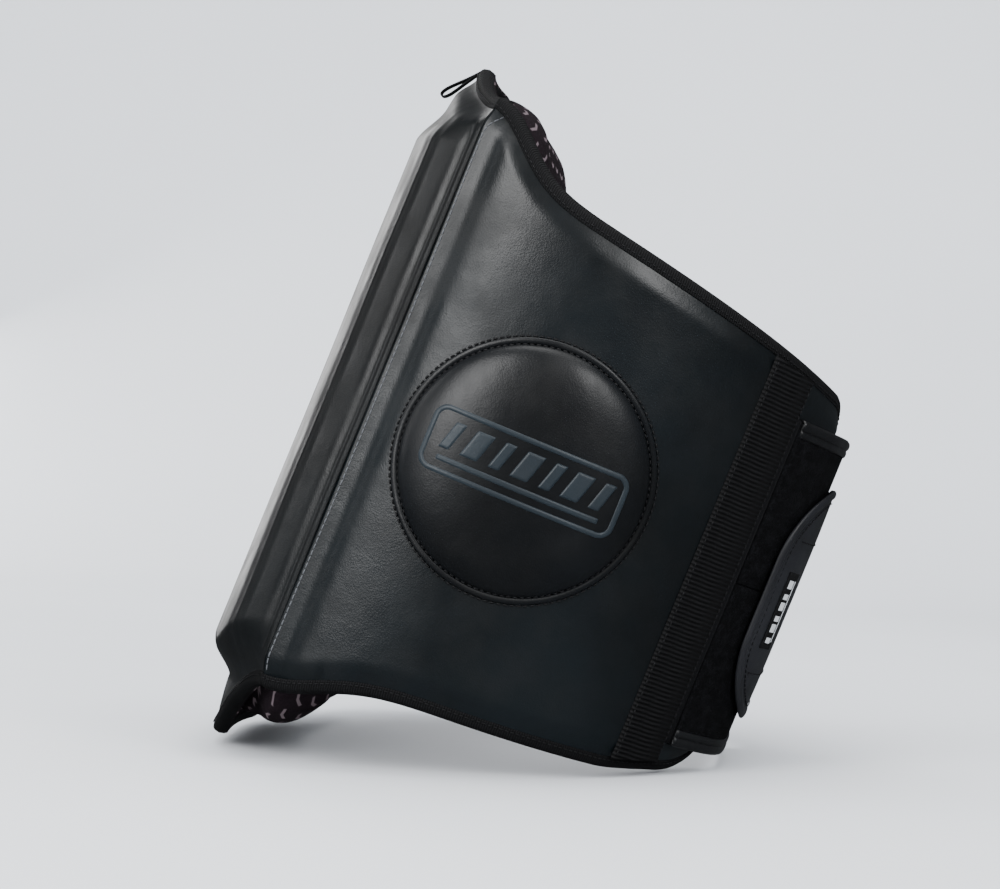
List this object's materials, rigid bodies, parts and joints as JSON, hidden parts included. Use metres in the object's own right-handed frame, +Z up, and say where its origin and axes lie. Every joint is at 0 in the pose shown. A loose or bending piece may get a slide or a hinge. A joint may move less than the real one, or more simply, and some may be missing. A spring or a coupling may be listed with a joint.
{
  "type": "wrap-around body shield",
  "caption": "Padded body shield worn round the waist, with a raised front block, round strike pads on the sides and a hook-and-loop closure at the rear.",
  "frame": {"origin": "on the floor, under the centre of the bounding box, with the shield in the stance in which it stands by itself", "axes": "+X to the wearer's left, -Y to the front, +Z up. The shield leans back by 20.3 degrees, so the waist axis points along (0, sin, cos) of that angle. Mirror plane X = 0, apart from the closure."},
  "size_m": [0.424, 0.4088, 0.445],
  "materials": {
    "leather": "satin",
    "dome_leather": "satin",
    "tab_leather": "satin",
    "edge_leather": "satin",
    "foam": "matte",
    "lining": "matte",
    "binding_tape": "matte",
    "webbing": "matte",
    "loop_pile": "matte",
    "strap_fabric": "matte",
    "elastic": "matte",
    "hook_tape": "matte",
    "label": "matte"
  },
  "bodies": {
    "front": {"front_cover": "leather", "front_block_core": "foam", "front_base_core": "foam", "front_cushion": "foam", "front_lining": "lining", "front_binding_top": "binding_tape", "front_binding_bottom": "binding_tape"},
    "left_side": {"left_cover": "leather", "left_core": "foam", "left_lining": "lining", "left_dome_cover": "dome_leather", "left_dome_core": "foam", "left_dome_welt": "dome_leather", "left_binding": "binding_tape", "left_webbing": "webbing"},
    "right_side": {"right_cover": "leather", "right_core": "foam", "right_lining": "lining", "right_dome_cover": "dome_leather", "right_dome_core": "foam", "right_dome_welt": "dome_leather", "right_binding": "binding_tape", "right_webbing": "webbing"},
    "left_strap": {"loop_backing": "strap_fabric", "loop_tape_upper": "loop_pile", "loop_tape_lower": "loop_pile", "loop_binding_top": "edge_leather", "loop_binding_bottom": "edge_leather"},
    "right_strap": {"elastic_band": "elastic", "elastic_binding_top": "edge_leather", "elastic_binding_bottom": "edge_leather"},
    "tab": {"tab_cover": "tab_leather", "tab_border": "tab_leather", "hook_patch": "hook_tape", "tab_label": "label"},
    "hang_loop": {"hang_loop": "webbing"}
  },
  "joints": [
    {"name": "strap_open", "type": "hinge", "parent": "right_side", "child": "right_strap", "pos_m": [-0.13219, 0.13671, 0.12849], "axis": [0, 0.3469, 0.9379], "range_deg": [0, 100]},
    {"name": "left_side_flex", "type": "hinge", "parent": "front", "child": "left_side", "pos_m": [0.18138, -0.09469, 0.21408], "axis": [0, 0.3469, 0.9379], "range_deg": [-16, 0]},
    {"name": "right_side_flex", "type": "hinge", "parent": "front", "child": "right_side", "pos_m": [-0.18138, -0.09469, 0.21408], "axis": [0, 0.3469, 0.9379], "range_deg": [0, 16]},
    {"name": "left_strap_flex", "type": "hinge", "parent": "left_side", "child": "left_strap", "pos_m": [0.13219, 0.13671, 0.12849], "axis": [0, 0.3469, 0.9379], "range_deg": [-11, 0]},
    {"name": "tab_peel", "type": "hinge", "parent": "right_strap", "child": "tab", "pos_m": [-0.01012, 0.17383, 0.11476], "axis": [0, 0.3469, 0.9379], "range_deg": [0, 75]},
    {"name": "hang_loop_swing", "type": "hinge", "parent": "front", "child": "hang_loop", "pos_m": [0, -0.04533, 0.44394], "axis": [1, 0, 0], "range_deg": [-100, 15]}
  ],
  "couplings": [
    {"joint": "left_side_flex", "follows": "strap_open", "ratio": -0.15},
    {"joint": "right_side_flex", "follows": "strap_open", "ratio": 0.15},
    {"joint": "left_strap_flex", "follows": "strap_open", "ratio": -0.1}
  ]
}
